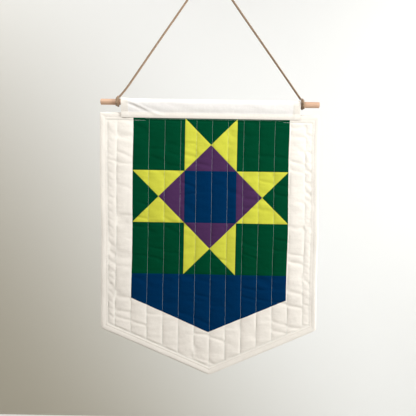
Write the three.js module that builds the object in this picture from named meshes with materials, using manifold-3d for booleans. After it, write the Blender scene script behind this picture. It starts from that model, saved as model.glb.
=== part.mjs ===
// Quilted banner: a pointed wall quilt whose rod sleeve hangs on a wooden dowel, with jute twine
// tied round both ends of the dowel. Millimetres, +Z up. The front faces -Y and +X is to the
// right. The origin is the underside of the twine at its apex, where a nail or hook carries it.
import * as THREE from "three";
import { mergeVertices } from "three/addons/utils/BufferGeometryUtils.js";
import Module from "manifold-3d";

const PIECE_GAP = 0.3;
const MERGE_TOLERANCE = 1e-3;

// The quilt's outline: a straight top, two sides and a shallow point below, cut by hand, so that
// its lower corners and its tip lie a little to the right of its top's middle.
const CENTRE_X = 3.5;
const TOP_WIDTH = 355;
const LOWER_WIDTH = 350.4;
const LOWER_SHIFT = 3.8;
const TIP_SHIFT = 5.8;
const LEFT_HEIGHT = 351.2;
const RIGHT_HEIGHT = 348.6;
const FULL_DROP = 425.4;

// Two cloths with batting between them: thick on a channel's crown, thin on a quilting line.
const CROWN_THICKNESS = 4.6;
const VALLEY_THICKNESS = 2.4;
const CROWN_FULLNESS = 0.7;

// Upright quilting lines, an inch apart, sewn by eye so that the middle ones drift to the right.
const LINE_COUNT = 13;
const LINE_PITCH = 25.4;
const FIRST_LINE_X = -145.6;
const LINE_DRIFT = 1.7;
const CHANNEL_COLUMNS = [0.2, 0.5, 0.8];
const EDGE_STITCH_INSET = 3.8;
const ROW_COUNT = 21;
const FLAT_BY_STITCH = 7;

// Puckers make a crown higher and lower down its channel, out of step with its neighbours.
const PUCKER_SHARE = 0.16;
const PUCKER_LENGTH = 69;
const PUCKER_BEAT = 182;
const PUCKER_STEP = 1.7;

const BINDING_WIDTH = 8.4;
const BINDING_THICKNESS = 5.1;
const BINDING_STEP = 16;
const BINDING_UNEVEN = 0.06;
const BINDING_UNEVEN_LENGTH = 60;

// The hanging hardware and the cloth sleeve that it runs through.
const DOWEL_DIAMETER = 9.5;
const DOWEL_LENGTH = 350.2;
const DOWEL_ABOVE_QUILT = 15.8;
const DOWEL_EDGE_ROUND = 0.5;
const DOWEL_SIDES = 32;
const SHEET_THICKNESS = 1;
const SLEEVE_LEFT_X = -138.7;
const SLEEVE_RIGHT_X = 148.3;
const SLEEVE_STATIONS = 30;
const ARC_STEPS = 10;
const HEM_WIDTH = 11;
const HEM_EXTRA = 0.35;
const HEM_STEP = 0.6;

// The loose front wall of the sleeve bulges, more and less along it, and has one slanting crease
// near its left end, from high on the wall down to the quilt.
const SLEEVE_BULGE = 0.9;
const BULGE_UNEVEN = 0.35;
const BULGE_LENGTH = 132;
const BULGE_BEAT = 295;
const CREASE_DEPTH = 0.9;
const CREASE_WIDTH = 10;
const CREASE_TOP = { x: -129.8, aboveDitch: 23.4 };
const CREASE_FOOT = { x: -84.4, aboveDitch: 3.2 };

// The sleeve's two pressed layers step back to the seam below the binding's front.
const SLEEVE_STEPS = [
  { aboveDitch: 0.1, back: 1.1 },
  { aboveDitch: 1.7, back: 0.45 },
  { aboveDitch: 4.1, back: 0 },
];
const POCKET_ABOVE_QUILT = 0.8;
const POCKET_TIP = 0.5;

const TWINE_DIAMETER = 2.8;
const APEX_ABOVE_DOWEL = 212.5;

// How far the hung cloth leaves its flat plane and its straight outline: one shallow bow over the
// whole sheet, the tip a little forward, ripples along the two sides and a wandering outline.
const BOW_DEPTH = 1.6;
const BOW_SPREAD = 2.2;
const BOW_SHIFT = 0.6;
const TIP_FORWARD = 1.5;
const EDGE_RIPPLE = 0.7;
const EDGE_RIPPLE_LENGTH = 95;
const OUTLINE_WANDER = 0.7;
const OUTLINE_WANDER_LENGTH = 210;
const SIDE_SHIFT = 1.3;
const FREE_BELOW = 70;

// Heights that follow from the sizes above.
const DOWEL_Z = TWINE_DIAMETER / 2 - APEX_ABOVE_DOWEL;
const TOP_Z = DOWEL_Z - DOWEL_ABOVE_QUILT;
const DITCH_Z = TOP_Z - BINDING_WIDTH;
const QUILT_Y = BINDING_THICKNESS / 2 + PIECE_GAP + SHEET_THICKNESS;

const colour = (hex, roughness) =>
  new THREE.MeshStandardMaterial({ color: hex, roughness, metalness: 0 });
const creamCloth = colour(0xf0ebdf, 0.95);
const bareWood = colour(0xd0a284, 0.6);
const jute = colour(0xa58a70, 0.95);

const group = new THREE.Group();

function addPiece(name, geometry, material) {
  const mesh = new THREE.Mesh(geometry, material);
  mesh.name = name;
  group.add(mesh);
}

function geometryFrom(points, triangles) {
  const geometry = new THREE.BufferGeometry();
  const values = points.flatMap((point) => [point.x, point.y, point.z]);
  geometry.setAttribute("position", new THREE.Float32BufferAttribute(values, 3));
  geometry.setIndex(triangles.flat());
  return geometry;
}

// Two triangles over the corners a, b, c, d, facing the side from which they run anticlockwise.
function quad(a, b, c, d) {
  return [[a, b, c], [a, c, d]];
}

// How the hung cloth bends: nothing at the seam that carries it, most towards the lower edges.
function hung(x, y, z) {
  const below = Math.max(0, DITCH_Z - z);
  const drop = below / FULL_DROP;
  const across = (2 * (x - CENTRE_X)) / TOP_WIDTH;
  const free = Math.min(1, below / FREE_BELOW);
  const side = Math.sign(across) * SIDE_SHIFT;
  const bow = BOW_DEPTH * Math.sin(Math.PI * drop) * Math.cos(BOW_SPREAD * across + BOW_SHIFT);
  const rippleTurn = (2 * Math.PI * z) / EDGE_RIPPLE_LENGTH + side;
  const ripple = EDGE_RIPPLE * Math.abs(across) ** 3 * Math.sin(rippleTurn);
  const wanderTurn = (2 * Math.PI * z) / OUTLINE_WANDER_LENGTH + side;
  const wander = OUTLINE_WANDER * across * Math.sin(wanderTurn);
  const forward = TIP_FORWARD * drop ** 2;
  return new THREE.Vector3(x + free * wander, y + free * (bow + ripple) - forward, z);
}

const LOWER_X = CENTRE_X + LOWER_SHIFT;
const OUTLINE = [
  new THREE.Vector2(CENTRE_X - TOP_WIDTH / 2, TOP_Z),
  new THREE.Vector2(CENTRE_X + TOP_WIDTH / 2, TOP_Z),
  new THREE.Vector2(LOWER_X + LOWER_WIDTH / 2, TOP_Z - RIGHT_HEIGHT),
  new THREE.Vector2(CENTRE_X + TIP_SHIFT, TOP_Z - FULL_DROP),
  new THREE.Vector2(LOWER_X - LOWER_WIDTH / 2, TOP_Z - LEFT_HEIGHT),
];

// The outline's corners in X and Z, clockwise from the top left, with every side moved inwards.
function outlineCorners(inset) {
  const inward = OUTLINE.map((corner, i) => {
    const side = OUTLINE[(i + 1) % OUTLINE.length].clone().sub(corner).normalize();
    return new THREE.Vector2(side.y, -side.x);
  });
  return OUTLINE.map((corner, i) => {
    const before = inward[(i + OUTLINE.length - 1) % OUTLINE.length];
    const mitre = before.clone().add(inward[i]).divideScalar(1 + before.dot(inward[i]));
    return corner.clone().addScaledVector(mitre, inset);
  });
}

// The height of an inset outline's lower edge at x.
function lowerEdgeZ(x, inset) {
  const [, , right, tip, left] = outlineCorners(inset);
  const side = x > tip.x ? right : left;
  return THREE.MathUtils.lerp(tip.y, side.y, (x - tip.x) / (side.x - tip.x));
}

// The quilting lines' places across the quilt.
function quiltingLines() {
  const lines = [];
  for (let i = 0; i < LINE_COUNT; i += 1) {
    const drift = LINE_DRIFT * Math.sin((Math.PI * i) / (LINE_COUNT - 1));
    lines.push(FIRST_LINE_X + LINE_PITCH * i + drift);
  }
  return lines;
}

// The lines that bound the channels, each from its place at the top to that at its foot: the two
// sides and their edge stitching slant, and the quilting lines are upright.
function channelBounds(inset) {
  const edge = outlineCorners(inset);
  const stitched = outlineCorners(inset + EDGE_STITCH_INSET);
  const left = (corners) => ({ top: corners[0].x, low: corners[4].x });
  const right = (corners) => ({ top: corners[1].x, low: corners[2].x });
  return [
    left(edge),
    left(stitched),
    ...quiltingLines().map((x) => ({ top: x, low: x })),
    right(stitched),
    right(edge),
  ];
}

// The upright columns of points of the quilted sheet, with how full the cloth stands on each,
// between 0 on a sewn line and 1 on a wide channel's crown.
function quiltColumns(inset) {
  const bounds = channelBounds(inset);
  const columns = [];
  bounds.forEach((bound, i) => {
    columns.push({ ...bound, crown: 0 });
    const next = bounds[i + 1];
    if (!next || next.top - bound.top < 2 * EDGE_STITCH_INSET) {
      return;
    }
    const width = next.top - bound.top;
    const shares = [...CHANNEL_COLUMNS];
    const overTip = (CENTRE_X + TIP_SHIFT - bound.top) / width;
    if (overTip > 0 && overTip < 1) {
      shares.push(overTip);
    }
    shares.sort((a, b) => a - b);
    shares.forEach((share) => {
      const fullness = Math.sqrt(Math.min(1, width / LINE_PITCH));
      columns.push({
        top: THREE.MathUtils.lerp(bound.top, next.top, share),
        low: THREE.MathUtils.lerp(bound.low, next.low, share),
        crown: fullness * Math.sin(Math.PI * share) ** CROWN_FULLNESS,
      });
    });
  });
  return columns;
}

function puckerAt(drop, column) {
  const turn = (2 * Math.PI * drop) / PUCKER_LENGTH + PUCKER_STEP * column;
  const beat = (2 * Math.PI * drop) / PUCKER_BEAT + column;
  return 1 + PUCKER_SHARE * Math.sin(turn) * Math.sin(beat);
}

// The quilted sheet inside the binding, with its channels raised on both faces.
function quiltBody() {
  const inset = BINDING_WIDTH + PIECE_GAP;
  const columns = quiltColumns(inset);
  const top = TOP_Z - inset;
  const firstRow = EDGE_STITCH_INSET;
  const fronts = [];
  const backs = [];
  columns.forEach((column, i) => {
    const lowest = top - lowerEdgeZ(column.low, inset);
    const lastRow = top - lowerEdgeZ(column.low, inset + EDGE_STITCH_INSET);
    const drops = [0, firstRow];
    for (let row = 0; row <= ROW_COUNT; row += 1) {
      const share = row / ROW_COUNT;
      drops.push(THREE.MathUtils.lerp(firstRow + FLAT_BY_STITCH, lastRow - FLAT_BY_STITCH, share));
    }
    drops.push(lastRow, lowest);
    drops.forEach((drop, row) => {
      const sewnDown = row < 2 || row > drops.length - 3;
      const rise = sewnDown ? 0 : column.crown * puckerAt(drop, i);
      const half = (VALLEY_THICKNESS + (CROWN_THICKNESS - VALLEY_THICKNESS) * rise) / 2;
      const x = THREE.MathUtils.lerp(column.top, column.low, drop / lowest);
      fronts.push(hung(x, QUILT_Y - half, top - drop));
      backs.push(hung(x, QUILT_Y + half, top - drop));
    });
  });

  const rows = fronts.length / columns.length;
  const behind = fronts.length;
  const triangles = [];
  const at = (column, row) => column * rows + row;
  for (let c = 0; c + 1 < columns.length; c += 1) {
    for (let r = 0; r + 1 < rows; r += 1) {
      const corners = [at(c, r), at(c, r + 1), at(c + 1, r + 1), at(c + 1, r)];
      triangles.push(...quad(...corners));
      triangles.push(...quad(...corners.map((corner) => corner + behind).reverse()));
    }
  }
  const lastColumn = columns.length - 1;
  const down = Array.from({ length: rows - 1 }, (_, r) => r);
  const over = Array.from({ length: lastColumn }, (_, c) => c);
  const rim = [
    ...down.map((r) => at(0, r)),
    ...over.map((c) => at(c, rows - 1)),
    ...down.map((r) => at(lastColumn, rows - 1 - r)),
    ...over.map((c) => at(lastColumn - c, 0)),
  ];
  rim.forEach((corner, i) => {
    const next = rim[(i + 1) % rim.length];
    triangles.push(...quad(next, corner, corner + behind, next + behind));
  });
  return geometryFrom([...fronts, ...backs], triangles);
}

// The binding's section: distance in from the outer edge, and share of its half thickness.
const BINDING_SECTION = [
  { inward: 8.4, share: -0.47 },
  { inward: 7, share: -0.78 },
  { inward: 4.5, share: -1 },
  { inward: 1.7, share: -0.9 },
  { inward: 0.4, share: -0.47 },
  { inward: 0, share: 0 },
  { inward: 0.4, share: 0.47 },
  { inward: 1.7, share: 0.9 },
  { inward: 4.5, share: 1 },
  { inward: 7, share: 0.78 },
  { inward: 8.4, share: 0.47 },
];

// One strip folded over the raw edge, all round the outline and mitred at its corners.
function binding() {
  const outer = outlineCorners(0);
  const points = [];
  let travelled = 0;
  outer.forEach((corner, side) => {
    const nextSide = (side + 1) % outer.length;
    const length = outer[nextSide].distanceTo(corner);
    const steps = Math.round(length / BINDING_STEP);
    for (let step = 0; step < steps; step += 1) {
      const along = step / steps;
      const turn = (Math.PI * (travelled + along * length)) / BINDING_UNEVEN_LENGTH;
      const plump = 1 - BINDING_UNEVEN * Math.sin(turn) ** 2;
      BINDING_SECTION.forEach(({ inward, share }) => {
        const corners = outlineCorners(inward);
        const place = corners[side].clone().lerp(corners[nextSide], along);
        const y = QUILT_Y + (share * plump * BINDING_THICKNESS) / 2;
        points.push(hung(place.x, y, place.y));
      });
    }
    travelled += length;
  });
  const around = BINDING_SECTION.length;
  const stations = points.length / around;
  const triangles = [];
  for (let s = 0; s < stations; s += 1) {
    for (let i = 0; i < around; i += 1) {
      const here = s * around;
      const there = ((s + 1) % stations) * around;
      const next = (i + 1) % around;
      triangles.push(...quad(here + i, there + i, there + next, here + next));
    }
  }
  return geometryFrom(points, triangles);
}

// Points on a circle about the dowel's axis, from one angle to another in even steps.
function arcPoints(radius, fromAngle, toAngle, steps) {
  const points = [];
  for (let i = 0; i <= steps; i += 1) {
    const angle = THREE.MathUtils.lerp(fromAngle, toAngle, i / steps);
    points.push([radius * Math.cos(angle), DOWEL_Z + radius * Math.sin(angle)]);
  }
  return points;
}

// A wall that rises from a low point, touches the circle over the dowel and comes down again.
function overDowel(frontFoot, backFoot, radius) {
  const touchAngle = (foot) => {
    const away = Math.hypot(foot[0], foot[1] - DOWEL_Z);
    return Math.acos(radius / away);
  };
  const footAngle = (foot) => Math.atan2(foot[1] - DOWEL_Z, foot[0]) + 2 * Math.PI;
  const front = footAngle(frontFoot) - touchAngle(frontFoot);
  const back = footAngle(backFoot) - 2 * Math.PI + touchAngle(backFoot);
  const arc = arcPoints(radius, front, back, ARC_STEPS);
  const between = (from, to, share) => [
    THREE.MathUtils.lerp(from[0], to[0], share),
    THREE.MathUtils.lerp(from[1], to[1], share),
  ];
  const first = arc[0];
  const last = arc[arc.length - 1];
  return [
    between(frontFoot, first, 1 / 3),
    between(frontFoot, first, 2 / 3),
    ...arc,
    between(last, backFoot, 1 / 2),
  ];
}

// The sleeve's section in Y and Z: two layers pressed in front of the binding, open above it.
function sleeveSection(hem) {
  const layer = SHEET_THICKNESS;
  const open = TOP_Z + POCKET_ABOVE_QUILT;
  const radius = DOWEL_DIAMETER / 2 + PIECE_GAP;
  const frontFoot = [-layer - hem, open];
  const backFoot = [layer, open];
  const steps = (y) => SLEEVE_STEPS.map(({ aboveDitch, back }) => [y + back, DITCH_Z + aboveDitch]);
  const outer = [
    ...steps(-layer - hem),
    frontFoot,
    ...overDowel(frontFoot, backFoot, radius + layer + hem),
    backFoot,
    ...steps(layer).reverse(),
  ];
  const pocket = [0, open + POCKET_TIP];
  const inner = [pocket, ...overDowel(pocket, pocket, radius)];
  return { outer, inner };
}

// How far the sleeve's front wall stands out or is creased at x and z.
function sleeveStandOut(x, z) {
  const height = (z - TOP_Z) / DOWEL_ABOVE_QUILT;
  const loose = Math.sin(Math.PI * THREE.MathUtils.clamp(height, 0, 1));
  const turn = (2 * Math.PI * x) / BULGE_LENGTH;
  const beat = (2 * Math.PI * x) / BULGE_BEAT + 1;
  const bulge = SLEEVE_BULGE * (1 + BULGE_UNEVEN * Math.sin(turn) * Math.sin(beat));
  const fall = CREASE_TOP.aboveDitch - CREASE_FOOT.aboveDitch;
  const share = (CREASE_TOP.aboveDitch - (z - DITCH_Z)) / fall;
  const creaseX = THREE.MathUtils.lerp(CREASE_TOP.x, CREASE_FOOT.x, share);
  const away = (x - creaseX) / CREASE_WIDTH;
  const crease = CREASE_DEPTH * Math.exp(-away * away);
  return loose * (bulge - crease);
}

function sleeve() {
  const from = SLEEVE_LEFT_X + HEM_WIDTH + HEM_STEP;
  const to = SLEEVE_RIGHT_X - HEM_WIDTH - HEM_STEP;
  const stations = [
    { x: SLEEVE_LEFT_X, hem: HEM_EXTRA },
    { x: SLEEVE_LEFT_X + HEM_WIDTH, hem: HEM_EXTRA },
  ];
  for (let i = 0; i <= SLEEVE_STATIONS; i += 1) {
    stations.push({ x: THREE.MathUtils.lerp(from, to, i / SLEEVE_STATIONS), hem: 0 });
  }
  stations.push({ x: SLEEVE_RIGHT_X - HEM_WIDTH, hem: HEM_EXTRA });
  stations.push({ x: SLEEVE_RIGHT_X, hem: HEM_EXTRA });

  const points = [];
  stations.forEach(({ x, hem }) => {
    const { outer, inner } = sleeveSection(hem);
    [...outer, ...inner].forEach(([y, z]) => {
      const front = y < 0 ? sleeveStandOut(x, z) : 0;
      points.push(new THREE.Vector3(x, y - front, z));
    });
  });

  const { outer, inner } = sleeveSection(HEM_EXTRA);
  const size = outer.length + inner.length;
  const triangles = [];
  for (let s = 0; s + 1 < stations.length; s += 1) {
    const here = s * size;
    const there = here + size;
    outer.forEach((_, i) => {
      const next = (i + 1) % outer.length;
      triangles.push(...quad(here + i, there + i, there + next, here + next));
    });
    inner.forEach((_, i) => {
      const a = outer.length + i;
      const b = outer.length + ((i + 1) % inner.length);
      triangles.push(...quad(here + b, there + b, there + a, here + a));
    });
  }
  const flat = (loop) => loop.map(([y, z]) => new THREE.Vector2(y, z));
  const cap = THREE.ShapeUtils.triangulateShape(flat(outer), [flat(inner)]);
  const lastStation = (stations.length - 1) * size;
  cap.forEach(([a, b, c]) => {
    triangles.push([c, b, a]);
    triangles.push([lastStation + a, lastStation + b, lastStation + c]);
  });
  return geometryFrom(points, triangles);
}

// The rod, turned about its own axis, with its sawn ends just broken at the rim.
function dowel() {
  const radius = DOWEL_DIAMETER / 2;
  const half = DOWEL_LENGTH / 2;
  const profile = [
    [0, -half],
    [radius - DOWEL_EDGE_ROUND, -half],
    [radius, -half + DOWEL_EDGE_ROUND],
    [radius, half - DOWEL_EDGE_ROUND],
    [radius - DOWEL_EDGE_ROUND, half],
    [0, half],
  ];
  const outline = profile.map(([r, h]) => new THREE.Vector2(r, h));
  const geometry = new THREE.LatheGeometry(outline, DOWEL_SIDES);
  geometry.rotateZ(-Math.PI / 2);
  geometry.translate(CENTRE_X, 0, DOWEL_Z);
  return geometry;
}

// The twine's centreline in X and Z, taut from the left knot over the nail to the right knot.
const TWINE_ROUTE = [
  { x: -142.2, z: -203.1 },
  { x: -130.8, z: -189 },
  { x: -111, z: -160 },
  { x: -82.8, z: -118 },
  { x: -54.1, z: -76 },
  { x: -27.1, z: -36 },
  { x: -10.8, z: -12 },
  { x: -2.8, z: -0.1 },
  { x: -1.5, z: 1 },
  { x: 0, z: 1.4 },
  { x: 1.5, z: 1 },
  { x: 2.8, z: -0.1 },
  { x: 11.5, z: -12 },
  { x: 28.8, z: -36 },
  { x: 57.4, z: -76 },
  { x: 87.8, z: -118 },
  { x: 118.3, z: -160 },
  { x: 149.4, z: -203.3 },
];
const TWINE_STEPS = 78;
const TWINE_SIDES = 8;

function roundSection(diameter, sides) {
  const corners = [];
  for (let i = 0; i < sides; i += 1) {
    const angle = (2 * Math.PI * (i + 0.5)) / sides;
    corners.push(new THREE.Vector2(Math.cos(angle), Math.sin(angle)).multiplyScalar(diameter / 2));
  }
  return new THREE.Shape(corners);
}

function tube(points, diameter, steps) {
  const path = new THREE.CatmullRomCurve3(points, false, "centripetal");
  const options = { steps, extrudePath: path, bevelEnabled: false };
  return new THREE.ExtrudeGeometry(roundSection(diameter, TWINE_SIDES), options);
}

function twine() {
  const points = TWINE_ROUTE.map(({ x, z }) => new THREE.Vector3(x, 0, z));
  return tube(points, TWINE_DIAMETER, TWINE_STEPS);
}

// A knot: turns of twine side by side round the dowel, and one that crosses over their front
// up to where the leg of the twine leaves.
const KNOTS = [
  { name: "knot_left", centre: -144.4, turns: 2, pitch: 3, lean: 1 },
  { name: "knot_right", centre: 151.9, turns: 2, pitch: 3, lean: -1 },
];
const TURN_STEPS = 4;
const TURN_SEGMENTS = 20;
const CROSSING_POINTS = 6;
const CROSSING_STEPS = 10;
const CROSSING_FROM_DEGREES = 250;
const CROSSING_TO_DEGREES = 112;
const CROSSING_SUNK = 0.75;
const CROSSING_PROUD = 1.2;

function knotTurns(turns, pitch) {
  const bore = DOWEL_DIAMETER / 2 + PIECE_GAP;
  const half = (turns * pitch) / 2;
  const profile = [new THREE.Vector2(bore, -half)];
  for (let step = 0; step <= TURN_STEPS * turns; step += 1) {
    const angle = Math.PI * ((step % TURN_STEPS) / TURN_STEPS - 0.5);
    const high = (TWINE_DIAMETER / 2) * (1 + Math.abs(Math.cos(angle)));
    profile.push(new THREE.Vector2(bore + high, -half + (step * pitch) / TURN_STEPS));
  }
  profile.push(new THREE.Vector2(bore, half), new THREE.Vector2(bore, -half));
  const geometry = new THREE.LatheGeometry(profile, TURN_SEGMENTS);
  geometry.rotateZ(-Math.PI / 2);
  return geometry;
}

function knotCrossing(turns, pitch, lean) {
  const bore = DOWEL_DIAMETER / 2 + PIECE_GAP;
  const reach = ((turns - 1) * pitch) / 2;
  const points = [];
  for (let i = 0; i <= CROSSING_POINTS; i += 1) {
    const share = i / CROSSING_POINTS;
    const degrees = THREE.MathUtils.lerp(CROSSING_FROM_DEGREES, CROSSING_TO_DEGREES, share);
    const angle = THREE.MathUtils.degToRad(degrees);
    const out = THREE.MathUtils.lerp(CROSSING_SUNK, CROSSING_PROUD, Math.sin(Math.PI * share));
    const radius = bore + out * TWINE_DIAMETER;
    const x = lean * reach * (2 * share - 1);
    points.push(new THREE.Vector3(x, radius * Math.cos(angle), radius * Math.sin(angle)));
  }
  return tube(points, TWINE_DIAMETER, CROSSING_STEPS);
}

const wasm = await Module();
wasm.setup();

function solidOf(geometry) {
  const bare = geometry.clone();
  bare.deleteAttribute("normal");
  bare.deleteAttribute("uv");
  const merged = mergeVertices(bare, MERGE_TOLERANCE);
  return new wasm.Manifold(new wasm.Mesh({
    numProp: 3,
    vertProperties: new Float32Array(merged.attributes.position.array),
    triVerts: new Uint32Array(merged.index.array),
  }));
}

function geometryOf(solid) {
  const { vertProperties, triVerts } = solid.getMesh();
  const geometry = new THREE.BufferGeometry();
  geometry.setAttribute("position", new THREE.BufferAttribute(vertProperties, 3));
  geometry.setIndex(new THREE.BufferAttribute(triVerts, 1));
  return geometry;
}

function knot({ centre, turns, pitch, lean }) {
  const wrapped = solidOf(knotTurns(turns, pitch));
  const geometry = geometryOf(wrapped.add(solidOf(knotCrossing(turns, pitch, lean))));
  geometry.translate(centre, 0, DOWEL_Z);
  return geometry;
}

addPiece("quilt_body", quiltBody(), creamCloth.clone());
addPiece("binding", binding(), creamCloth.clone());
addPiece("sleeve", sleeve(), creamCloth.clone());
addPiece("dowel", dowel(), bareWood);
addPiece("twine", twine(), jute.clone());
KNOTS.forEach((tied) => addPiece(tied.name, knot(tied), jute.clone()));

export default group;
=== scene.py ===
"""The finished look of a quilted banner that hangs from a wooden dowel on jute twine.

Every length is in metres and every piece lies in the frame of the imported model: the front faces
-Y, +X is to the right and the origin is the underside of the twine where a nail carries it.
"""

import random
from bisect import bisect_left
from itertools import accumulate
from math import acos, atan2, copysign, cos, exp, hypot, pi, radians, sin, sqrt, tau

import bmesh
import bpy
from bpy.props import FloatProperty, FloatVectorProperty, IntProperty, PointerProperty
from mathutils import Euler, Matrix, Vector, noise


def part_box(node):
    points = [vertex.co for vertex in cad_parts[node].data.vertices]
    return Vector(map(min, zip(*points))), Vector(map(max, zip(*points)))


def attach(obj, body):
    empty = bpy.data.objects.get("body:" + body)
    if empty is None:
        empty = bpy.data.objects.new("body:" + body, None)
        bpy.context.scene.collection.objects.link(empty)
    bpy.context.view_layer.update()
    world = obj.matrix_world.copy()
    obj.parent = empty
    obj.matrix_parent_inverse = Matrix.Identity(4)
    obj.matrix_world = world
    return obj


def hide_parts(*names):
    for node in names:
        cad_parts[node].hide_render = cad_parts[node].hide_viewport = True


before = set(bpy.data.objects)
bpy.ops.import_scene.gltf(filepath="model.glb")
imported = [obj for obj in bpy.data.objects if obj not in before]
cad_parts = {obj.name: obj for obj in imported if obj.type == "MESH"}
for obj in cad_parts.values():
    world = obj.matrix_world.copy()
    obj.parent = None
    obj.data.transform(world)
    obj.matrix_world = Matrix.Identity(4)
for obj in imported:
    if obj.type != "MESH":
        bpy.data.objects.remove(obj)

bl_info = {
    "name": "Quilted banner",
    "version": (1, 0, 0),
    "blender": (4, 5, 0),
    "location": "View3D > Sidebar > Banner",
    "description": "Makes the cloth, wood and twine of a pointed wall quilt",
    "category": "Add Mesh",
}

MM = 0.001
MERGE_DISTANCE = 1e-6
CUT_DISTANCE = 1e-5
SHARP_ANGLE = radians(65)

# Places that the frame gives.
BINDING_LOW, BINDING_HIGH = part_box("binding")
DOWEL_LOW, DOWEL_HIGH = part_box("dowel")
SLEEVE_LOW, SLEEVE_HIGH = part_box("sleeve")
DOWEL_Z = (DOWEL_LOW.z + DOWEL_HIGH.z) / 2
CENTRE_X = (DOWEL_LOW.x + DOWEL_HIGH.x) / 2
TOP_Z = BINDING_HIGH.z

# The quilt's middle plane, behind the sleeve's two layers.
QUILT_Y = 3.85 * MM

# Upright quilting lines, sewn by eye, so that the middle ones drift to the right.
LINE_COUNT = 13
FIRST_LINE_X = -145.6 * MM
LINE_DRIFT = 1.7 * MM
LINE_HALF_WIDTH = 0.9 * MM
EDGE_STITCH_INSET = 3.8 * MM

# How the hung cloth leaves its flat plane and its straight outline, as in the model.
BOW_DEPTH = 1.6 * MM
BOW_SPREAD = 2.2
BOW_SHIFT = 0.6
TIP_FORWARD = 1.5 * MM
EDGE_RIPPLE = 0.7 * MM
EDGE_RIPPLE_LENGTH = 95 * MM
OUTLINE_WANDER = 0.7 * MM
OUTLINE_WANDER_LENGTH = 210 * MM
SIDE_SHIFT = 1.3
FREE_BELOW = 70 * MM

# Sewing by hand and eye moves every line and seam a little, aside and up. Each such pattern of
# noise is given by its strength, how far it runs across and down, and its seed.
SEWN_ASIDE = (0.25 * MM, 62 * MM, 62 * MM, 91.7)
SEWN_UP = (0.25 * MM, 62 * MM, 62 * MM, 77.2)

# Relief of the quilted cloth. A pattern's seed is added to that of its face.
FRONT_SEED = 3.7
BACK_SEED = 41.3
CROWN_FULLNESS = 0.5
CROWN_UNEVEN = (0.35, 31 * MM, 38 * MM, 0)
EDGE_STRIP_LOFT = 0.7
EDGE_STRIP_TURN = radians(140)
EDGE_STRIP_CALM = 0.2
FLAT_BY_STITCH = 4 * MM
LOFT_TO_HOLD_FOLDS = 0.625
CREASE_DEPTH = 1.45 * MM
CREASE_LEVEL = (1, 85 * MM, 21 * MM, 7.1)
CREASE_NARROWNESS = 0.13
CREASE_SLOPE = 0.2
CREASE_STEP = 7 * MM
CREASE_SHOWN = (2.4, 1, 30 * MM, 13.9)
CREASE_SHOWN_SHARE = 0.55
CHANNEL_STEP = 1.7
CHANNEL_SHOWN_STEP = 1.9
PUCKERS = (0.7 * MM, 24 * MM, 10 * MM, 21.3)
GATHER_DEPTH = 0.3 * MM
GATHER_SPACING = 3.6 * MM
GATHER_REACH = 3.2 * MM
GATHER_LINE_STEP = 1.37
DENT_DEPTH = 0.9 * MM
DENT_REACH = 11 * MM
DENT_SPACING = 13 * MM
DENT_SLOPE = 0.75
DENT_WANDER = (5 * MM, 1 / 30, 22 * MM, 0)
SEAM_DIP = 0.34 * MM
SEAM_HALF_WIDTH = 0.9 * MM
SEAM_ALLOWANCE = 6.3 * MM
SEAM_ALLOWANCE_RISE = 0.22 * MM
SEAM_ALLOWANCE_EDGE = 1.5 * MM

# The patchwork: a nine-cell star block sewn over a pointed panel, on a plain ground.
STAR_CELL = 84 * MM
STAR_HALF = 1.5 * STAR_CELL
STAR_X = CENTRE_X + 3 * MM
PANEL_SIDE = 40 * MM
PANEL_SLOPE = 0.43

# Grid steps of the cloth meshes.
COLUMN_STEP = 2.9 * MM
ROW_STEP = 1.5 * MM
TUCKED_UNDER_BINDING = 2.3 * MM

DYED = ("green", "purple", "lime", "navy")
GROUND, GREEN, PURPLE, LIME, NAVY, BACKING = range(6)

UPRIGHT = Euler((pi / 2, 0, 0))


def linear(hex_colour):
    """An sRGB hex colour as linear red, green and blue."""
    channels = [int(hex_colour[i:i + 2], 16) / 255 for i in (1, 3, 5)]
    return tuple(c / 12.92 if c <= 0.04045 else ((c + 0.055) / 1.055) ** 2.4 for c in channels)


def colour(name, description, hex_colour):
    """A colour setting."""
    tone = linear(hex_colour)
    return FloatVectorProperty(
        name=name, description=description, subtype="COLOR", size=3, min=0, max=1, default=tone
    )


def amount(name, description, default, unit="LENGTH"):
    """A setting that is a length, or another amount that isn't below nought."""
    return FloatProperty(
        name=name, description=description, unit=unit, min=0, precision=4, default=default
    )


class BannerQuilt(bpy.types.PropertyGroup):
    """Sizes and colours of the quilted cloth."""

    top_width: amount("Top width", "Width of the quilt along its top", 355 * MM)
    lower_width: amount("Lower width", "Width at the lower corners", 350.4 * MM)
    lower_shift: amount("Lower shift", "Lower corners' shift to the right", 3.8 * MM)
    tip_shift: amount("Tip shift", "The tip's shift to the right", 5.8 * MM)
    left_height: amount("Left height", "Height of the left side", 351.2 * MM)
    right_height: amount("Right height", "Height of the right side", 348.6 * MM)
    full_drop: amount("Full drop", "Height from the top to the tip", 425.4 * MM)
    crown_thickness: amount("Crown", "Thickness between the sewn lines", 5.2 * MM)
    valley_thickness: amount("Valley", "Thickness on a sewn line", 2.4 * MM)
    line_pitch: amount("Line pitch", "From one quilting line to the next", 25.4 * MM)
    stitch_length: amount("Stitch length", "From one stitch to the next", 2.5 * MM)
    thread_diameter: amount("Thread", "Thickness of the quilting thread", 0.23 * MM)
    binding_width: amount("Binding width", "Width of the folded edge strip", 8.4 * MM)
    binding_thickness: amount("Binding thickness", "Thickness of that strip", 5.1 * MM)
    ground: colour("Ground", "Undyed cotton of the ground and binding", "#f2eae0")
    # Painted light and shade: the sleeve's single-layer middle gets this tinted copy of the cotton,
    # for the tone that shows through one layer of cloth.
    single_layer: colour("Single layer", "One layer of it, which lets shade through", "#f7efeb")
    green: colour("Green", "Cotton of the star's corners", "#004228")
    purple: colour("Purple", "Cotton of the star's inner triangles", "#4b2e54")
    lime: colour("Lime", "Cotton of the star's points", "#cdcd46")
    navy: colour("Navy", "Cotton of the star's centre and the panel", "#002c53")
    thread: colour("Thread", "Quilting and hem thread", "#c6d2cc")


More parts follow.
